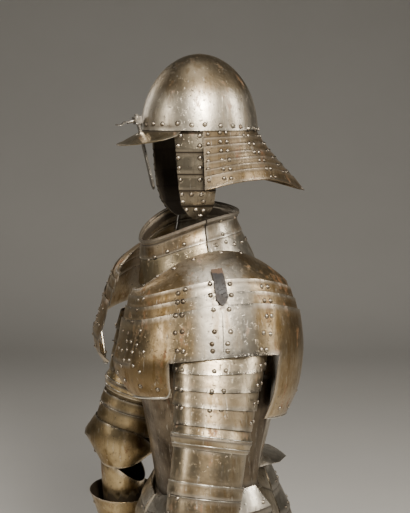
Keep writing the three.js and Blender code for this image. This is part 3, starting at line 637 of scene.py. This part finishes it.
SHOULDER_TOP = [
    (80, -112, -60), (92, -94, -38), (110, -66, -21), (118, -28, -3), (119, 31, 8), (112, 76, 4),
    (100, 112, 0), (92, 150, -14),
]
SHOULDER_COLUMNS = [
    (178, -66, -54), (171, -78, -62), (186, -73, -76), (179, -82, -78), (194, -78, -101), (187, -89, -103),
    (201, -80, -132), (193, -92, -135), (211, -82, -168), (204, -91, -168),
    (198, 87, -53), (192, 102, -55), (211, 88, -79), (205, 103, -81), (222, 88, -108), (218, 100, -109),
    (232, 78, -139), (228, 94, -143), (239, 71, -170), (237, 82, -172),
    (220, -23, -90), (222, 8, -90), (228, -24, -131), (234, 7, -132), (231, -30, -154), (238, 0, -154),
    (235, -30, -167), (240, -1, -168),
]
STRAP_SIDES = [(204, -24, -43), (204, 17, -44), (213, -26, -64), (218, 16, -64)]
ROSETTE = [
    (129, -142, -139), (93, -156, -149), (67, -159, -149), (94, -159, -165), (109, -155, -164),
    (128, -149, -167), (64, -167, -184), (82, -166, -185), (102, -162, -181), (121, -157, -182),
    (149, -143, -177), (103, -168, -201), (120, -163, -198), (95, -172, -214), (134, -159, -207),
    (147, -151, -217), (100, -150, -126), (102, -141, -102), (110, -130, -79), (96, -136, -83),
]
WING_EDGE = [
    (70, -170, -232), (98, -167, -243), (139, -146, -248), (166, -116, -250),
    (203, 99, -296), (183, 132, -305), (150, 165, -312), (110, 190, -290), (70, 205, -240),
]
SKULL_CORE = level_core(0, 28)
CHEEK_CORE = level_core(30, -10)
TAIL_CORE = level_core(0, 20)
GORGET_CORE = level_core(0, 10)
SHOULDER_MIDDLE = (66, 25)
SHOULDER_CORE = level_core(*SHOULDER_MIDDLE)
SHOULDER_TOP_DROP = 60


def shoulder_top_core(point):
    """The middle of the shoulder, below the point, so that the line to it comes down on the plates."""
    return *SHOULDER_MIDDLE, point[2] - SHOULDER_TOP_DROP


helmet = seats(["helmet_skull"], both(SKULL_RIM), SKULL_CORE)
for side, move in (("left", tuple), ("right", mirrored)):
    helmet += seats([f"cheek_piece_{side}"], CHEEK, CHEEK_CORE, move)
rivet_set("helmet_rivets", helmet, radius=4.2)

tail = both(TAIL_FRONT)
for *pair, step in TAIL_PAIRS:
    for lame in range(TAIL_LAMES):
        tail += both([tuple(a + b * lame for a, b in zip(start, step)) for start in pair])
rivet_set("tail_rivets", seats(named("tail"), tail, TAIL_CORE), radius=3.6)
rivet_set("tail_hem_rivets", seats(["tail_lame_7"], both(TAIL_HEM), TAIL_CORE), radius=2.6)
rivet_set("gorget_rivets", seats(named("gorget"), both(GORGET), GORGET_CORE), radius=3.8)

for side, move in (("left", tuple), ("right", right_shoulder)):
    shoulder = [name for name in named(f"pauldron_{side}") if "strap" not in name]
    large = seats(shoulder, SHOULDER_TOP, shoulder_top_core, move)
    large += seats(shoulder, SHOULDER_COLUMNS + STRAP_SIDES, SHOULDER_CORE, move)
    large += seats([f"pauldron_{side}_main"], WING_EDGE, SHOULDER_CORE, move)
    rivet_set(f"{side}_shoulder_rivets", large, radius=4.2)
    rivet_set(f"{side}_rosette_rivets", seats(shoulder, ROSETTE, SHOULDER_CORE, move), radius=3.4)


# Arm rivets: columns round the arm, at stations down from the shoulder or, where negative, up from the elbow

ARMS = {  # shoulder and elbow, in mm
    "left": ((175, 13, -170), (246, -60, -524)),
    "right": ((-178, 4, -150), (-224, -75, -450)),
}
LAME_STATIONS = (37, 75, 112, 150)
LAME_ANGLES = (83, 70, 24, 8, -52, -66)
ELBOW_STATIONS = (-86, -52)
ELBOW_ANGLES = (84, 60, -60, -84)
FOREARM_STATIONS = (30, 150)
ARM_WIDE, ARM_DEEP = 75, 100
FOREARM_OUT = 8


class Arm:
    """The line of an upper arm, in mm."""

    def __init__(self, side):
        self.start, self.end = (Vector(place) for place in ARMS[side])
        self.down = (self.end - self.start).normalized()

    def at(self, station):
        return (self.start if station > 0 else self.end) + self.down * station


for side, sign in SIDES:
    arm = Arm(side)
    lames = named(f"arm_{side}_lame") + [f"arm_{side}_elbow_lames"]
    found = []
    rows = [(station, LAME_ANGLES) for station in LAME_STATIONS]
    rows += [(station, ELBOW_ANGLES) for station in ELBOW_STATIONS]
    for station, angles in rows:
        for angle in angles:
            a = math.radians(angle)
            point = arm.at(station) + Vector((sign * ARM_WIDE * math.cos(a), -ARM_DEEP * math.sin(a), 0))
            found.append(seat(lames, point, arm.at(station)))
    for drop in FOREARM_STATIONS:
        middle = arm.end - Vector((0, 0, drop))
        for reach in (-ARM_DEEP, ARM_DEEP):
            point = middle + Vector((sign * FOREARM_OUT, reach, 0))
            found.append(seat([f"arm_{side}_elbow_cop", f"gauntlet_{side}_cuff"], point, middle))
    rivet_set(f"{side}_arm_rivets", found, radius=4.0)


# Tasset rivets: one at the front and rear of each lame and two in its middle. Culet rivets: three rows

TASSET_LAMES = (-508, -552, -598, -644, -690, -736, -782, -828, -874, -920, -966)
TASSET_EDGES = (  # height, core out and back, first and last angle
    (-474, 0, 50, 2, 113), (-545, 14, 50, -1, 127), (-640, 66, 44, -19, 124), (-780, 106, 28, -50, 112),
    (-930, 118, 14, -70, 100), (-1040, 120, 8, -72, 84),
)
TASSET_REACH = 190
EDGE_INSET, PAIR_HALF = 7, 4
CULET_HEIGHTS = (-490, -545, -606)
CULET_ANGLES = (136, 148, 165, 180, 195, 212, 224)
CULET_REACH = (200, 260)
CULET_CENTRE = (0, 50)
CULET_CORE = (0, 60)


def tasset_at(z):
    """The core out and back, and the first and last angle, of a tasset at a height."""
    for upper, lower in zip(TASSET_EDGES, TASSET_EDGES[1:]):
        if upper[0] >= z >= lower[0]:
            share = (upper[0] - z) / (upper[0] - lower[0])
            return [a + (b - a) * share for a, b in zip(upper[1:], lower[1:])]
    raise ValueError(f"no tasset at {z}")


for side, move in (("left", tuple), ("right", mirrored)):
    found = []
    for z in TASSET_LAMES:
        x, y, first, last = tasset_at(z)
        middle = (first + last) / 2
        for angle in (first + EDGE_INSET, middle - PAIR_HALF, middle + PAIR_HALF, last - EDGE_INSET):
            point = round_point((x, y), (TASSET_REACH, TASSET_REACH), angle, z)
            found.append(seat([f"tasset_{side}"], move(point), move((x, y, z))))
    rivet_set(f"{side}_tasset_rivets", found, radius=3.8)

hips = [
    seat(["culet"], round_point(CULET_CENTRE, CULET_REACH, angle, z), (*CULET_CORE, z))
    for z in CULET_HEIGHTS
    for angle in CULET_ANGLES
]
rivet_set("culet_rivets", hips, radius=3.8)


# Rolled rims, ridges and creases: round beads along a path

PATH_SMOOTHING = 2
BEAD_ROUNDNESS = 2
END_SHARE = 0.5


def edge_path(name, centre, first, last, points, pick):
    """A plate's rim between two angles round an upright line: its lowest or farthest point in each step."""
    best = {}
    for point in rims[name]:
        x, y = point.x / MM - centre[0], point.y / MM - centre[1]
        angle = (math.degrees(math.atan2(x, -y)) - first) % 360
        if angle > last - first:
            continue
        step = int(angle / (last - first) * points)
        score = -point.z if pick == "lowest" else math.hypot(x, y)
        if step not in best or score > best[step][0]:
            best[step] = (score, point)
    path = [best[step][1].copy() for step in sorted(best)]
    for _ in range(PATH_SMOOTHING):
        inner = [(a + b * 2 + c) / 4 for a, b, c in zip(path, path[1:], path[2:])]
        path = [path[0], *inner, path[-1]]
    return path


def bead(title, path, radius, finish, closed=False):
    """A round bead along a path, made as a curve with a round bevel and slimmer capped ends."""
    curve = bpy.data.curves.new(title, "CURVE")
    curve.dimensions = "3D"
    curve.bevel_depth = radius * MM
    curve.bevel_resolution = BEAD_ROUNDNESS
    curve.use_fill_caps = True
    spline = curve.splines.new("POLY")
    spline.points.add(len(path) - 1)
    spline.use_cyclic_u = closed
    for index, (point, place) in enumerate(zip(spline.points, path)):
        point.co = (*place, 1)
        point.radius = 1.0 if closed or 0 < index < len(path) - 1 else END_SHARE
    trim(title, mesh_of(link(title + "_line", curve)), (finish,))


ROLLS = (  # piece, plate, centre in mm, first and last angle, points, which point, radius in mm, finish
    ("left_front_wing_roll", "pauldron_left_main", (64, 25), 8, 47, 16, "lowest", 2.9, "roll"),
    ("left_rear_wing_roll", "pauldron_left_main", (64, 25), 118, 180, 18, "lowest", 2.0, "roll"),
    ("right_front_wing_roll", "pauldron_right_main", (-64, 25), 320, 352, 14, "lowest", 2.9, "roll"),
    ("right_rear_wing_roll", "pauldron_right_main", (-64, 25), 180, 242, 18, "lowest", 2.0, "roll"),
    ("peak_roll", "helmet_peak", (0, -20), 300, 420, 30, "farthest", 1.3, "peak"),
    ("tail_roll", "tail_lame_7", (0, 20), 62, 298, 60, "lowest", 1.5, "tail"),
)
for title, plate_name, centre, first, last, points, pick, radius, finish in ROLLS:
    bead(title, edge_path(plate_name, centre, first, last, points, pick), radius, finish)

RING_STEP = 12
RING_REACH = 100
RINGS = (  # piece, station as for the rivets, and radius
    ("turner", 180, 1.8), ("turner", 198, 1.6), ("elbow_lames", -98, 1.1), ("elbow_lames", -71, 1.1),
)
for side, sign in SIDES:
    arm = Arm(side)
    out = Vector((sign, 0, 0))
    out = (out - arm.down * out.dot(arm.down)).normalized()
    fore = arm.down.cross(out) * sign
    for number, (piece, station, radius) in enumerate(RINGS):
        found = []
        for angle in range(0, 360, RING_STEP):
            a = math.radians(angle)
            away = (out * math.cos(a) + fore * math.sin(a)) * RING_REACH
            found.append(seat([f"arm_{side}_{piece}"], arm.at(station) + away, arm.at(station)))
        ring = [spot for spot, _, _ in filter(None, found)]
        bead(f"{side}_arm_ridge_{number}", ring, radius, "roll", closed=True)

CREASE_ANGLE = math.radians(-11)
CREASE_REACH = 175
CREASE_HEIGHTS = range(-92, -186, -10)
CREASE_RADIUS = 1.1
crease_x = SHOULDER_MIDDLE[0] + CREASE_REACH * math.cos(CREASE_ANGLE)
crease_y = SHOULDER_MIDDLE[1] + CREASE_REACH * math.sin(CREASE_ANGLE)
CREASE = [(crease_x, crease_y, z) for z in CREASE_HEIGHTS]
for side, move in (("left", tuple), ("right", right_shoulder)):
    found = seats([f"pauldron_{side}_main"], CREASE, SHOULDER_CORE, move)
    bead(f"{side}_shoulder_crease", [spot for spot, _, _ in filter(None, found)], CREASE_RADIUS, "roll")


# Floor, light and camera

AIM = Vector((0.0129, 0.0353, -0.0135))
PHOTO_AZIMUTH = 70
PHOTO_ELEVATION = 7.2
PHOTO_DISTANCE = 2.5
PHOTO_LENS = 84
SENSOR = 36
FLOOR_HEIGHT = -1.041
FLOOR_NEAR, FLOOR_LENGTH, FLOOR_HALF_WIDTH = -6, 15, 30
SWEEP_START, SWEEP_LENGTH, SWEEP_RISE, WALL_SLOPE = 4.0, 4, 5, 1.5


def floor():
    """A pale floor that sweeps up behind the armour, as seen by the camera."""
    bm = bmesh.new()
    bmesh.ops.create_grid(bm, x_segments=4, y_segments=60, size=1)
    a = math.radians(PHOTO_AZIMUTH)
    back = Vector((-math.sin(a), math.cos(a), 0))
    right = Vector((math.cos(a), math.sin(a), 0))
    for vertex in bm.verts:
        along = (vertex.co.y + 1) / 2 * FLOOR_LENGTH + FLOOR_NEAR
        swept = max(0.0, along - SWEEP_START)
        curl = min(swept, SWEEP_LENGTH) / SWEEP_LENGTH * math.pi / 2
        rise = SWEEP_RISE * (1 - math.cos(curl)) + max(0.0, swept - SWEEP_LENGTH) * WALL_SLOPE
        across = vertex.co.x * FLOOR_HALF_WIDTH
        vertex.co = back * along + right * across + Vector((0, 0, FLOOR_HEIGHT + rise))
    bmesh.ops.recalc_face_normals(bm, faces=bm.faces)
    if sum(face.normal.z for face in bm.faces) < 0:
        bmesh.ops.reverse_faces(bm, faces=bm.faces)
    mesh = new_mesh("floor", bm)
    mesh.shade_smooth()
    mesh.materials.append(floor_paint())
    link("floor", mesh)


def seen_from(azimuth, elevation, distance):
    """The place to look at the armour from, with the azimuth from its front toward +X."""
    a, e = math.radians(azimuth), math.radians(elevation)
    return AIM + Vector((math.sin(a) * math.cos(e), -math.cos(a) * math.cos(e), math.sin(e))) * distance


def aimed(name, data, azimuth, elevation, distance):
    """A light or camera that looks at the armour."""
    made = link(name, data)
    made.location = seen_from(azimuth, elevation, distance)
    made.rotation_euler = (AIM - made.location).to_track_quat("-Z", "Y").to_euler()
    return made


LIGHTS = (  # name, azimuth, elevation, distance, width, height, watts and colour
    ("key", 84, 34, 2.3, 0.45, 1.0, 104, (1.0, 0.95, 0.87)),
    ("front_fill", 14, 18, 3.0, 0.4, 1.6, 26, (1.0, 0.93, 0.82)),
    ("rear_strip", 148, 20, 2.6, 0.3, 1.8, 30, (1.0, 0.96, 0.90)),
    ("far_side", -62, 24, 3.0, 0.8, 1.6, 16, (1.0, 0.96, 0.91)),
    ("top", 60, 82, 2.6, 1.2, 1.2, 12, (1.0, 1.0, 1.0)),
)

floor()
for name, azimuth, elevation, distance, width, height, watts, colour in LIGHTS:
    lamp = bpy.data.lights.new(name, "AREA")
    lamp.shape = "RECTANGLE"
    lamp.size = width
    lamp.size_y = height
    lamp.energy = watts
    lamp.color = colour
    aimed(name, lamp, azimuth, elevation, distance)

world = bpy.data.worlds.new("studio")
bpy.context.scene.world = world
world.use_nodes = True
backdrop = world.node_tree.nodes["Background"]
backdrop.inputs["Color"].default_value = (0.55, 0.54, 0.52, 1)
backdrop.inputs["Strength"].default_value = 0.10

view = bpy.data.cameras.new("photo_camera")
view.lens = PHOTO_LENS
view.sensor_width = SENSOR
view.sensor_fit = "AUTO"
view.clip_start = 0.05
view.clip_end = 60
bpy.context.scene.camera = aimed("photo_camera", view, PHOTO_AZIMUTH, PHOTO_ELEVATION, PHOTO_DISTANCE)
